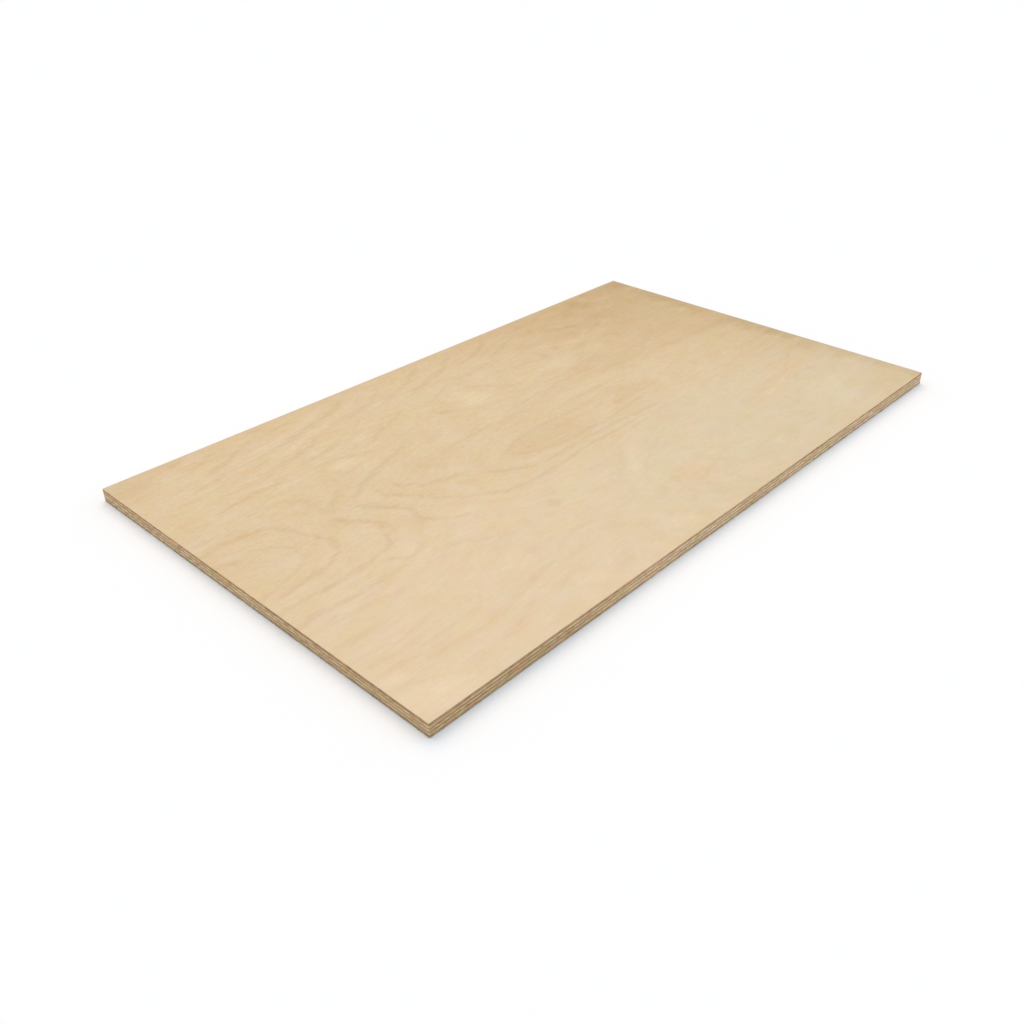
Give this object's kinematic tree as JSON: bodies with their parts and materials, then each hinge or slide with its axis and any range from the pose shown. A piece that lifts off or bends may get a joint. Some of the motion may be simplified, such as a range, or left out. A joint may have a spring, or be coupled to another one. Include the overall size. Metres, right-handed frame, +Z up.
{
  "type": "plywood sheet",
  "caption": "Rectangular sheet of birch-faced plywood: peeled veneers glued cross-grained, sawn square, sanded on both faces, with bare banded edges. Used as panel, shelf or top stock.",
  "frame": {"origin": "middle of the back of the sheet, on the level ground it lies on", "axes": "+X along the long side, which is along the grain of the face; +Y across the sheet; +Z up through the thickness, out of the face"},
  "size_m": [1, 0.6, 0.018],
  "materials": {
    "face_veneer": "satin",
    "back_veneer": "satin",
    "long_band": "matte",
    "crossband": "matte"
  },
  "bodies": {
    "root": {"back_veneer": "back_veneer", "crossband_1": "crossband", "long_band_1": "long_band", "crossband_2": "crossband", "long_band_2": "long_band", "crossband_3": "crossband", "long_band_3": "long_band", "crossband_4": "crossband", "face_veneer": "face_veneer"}
  },
  "joints": []
}
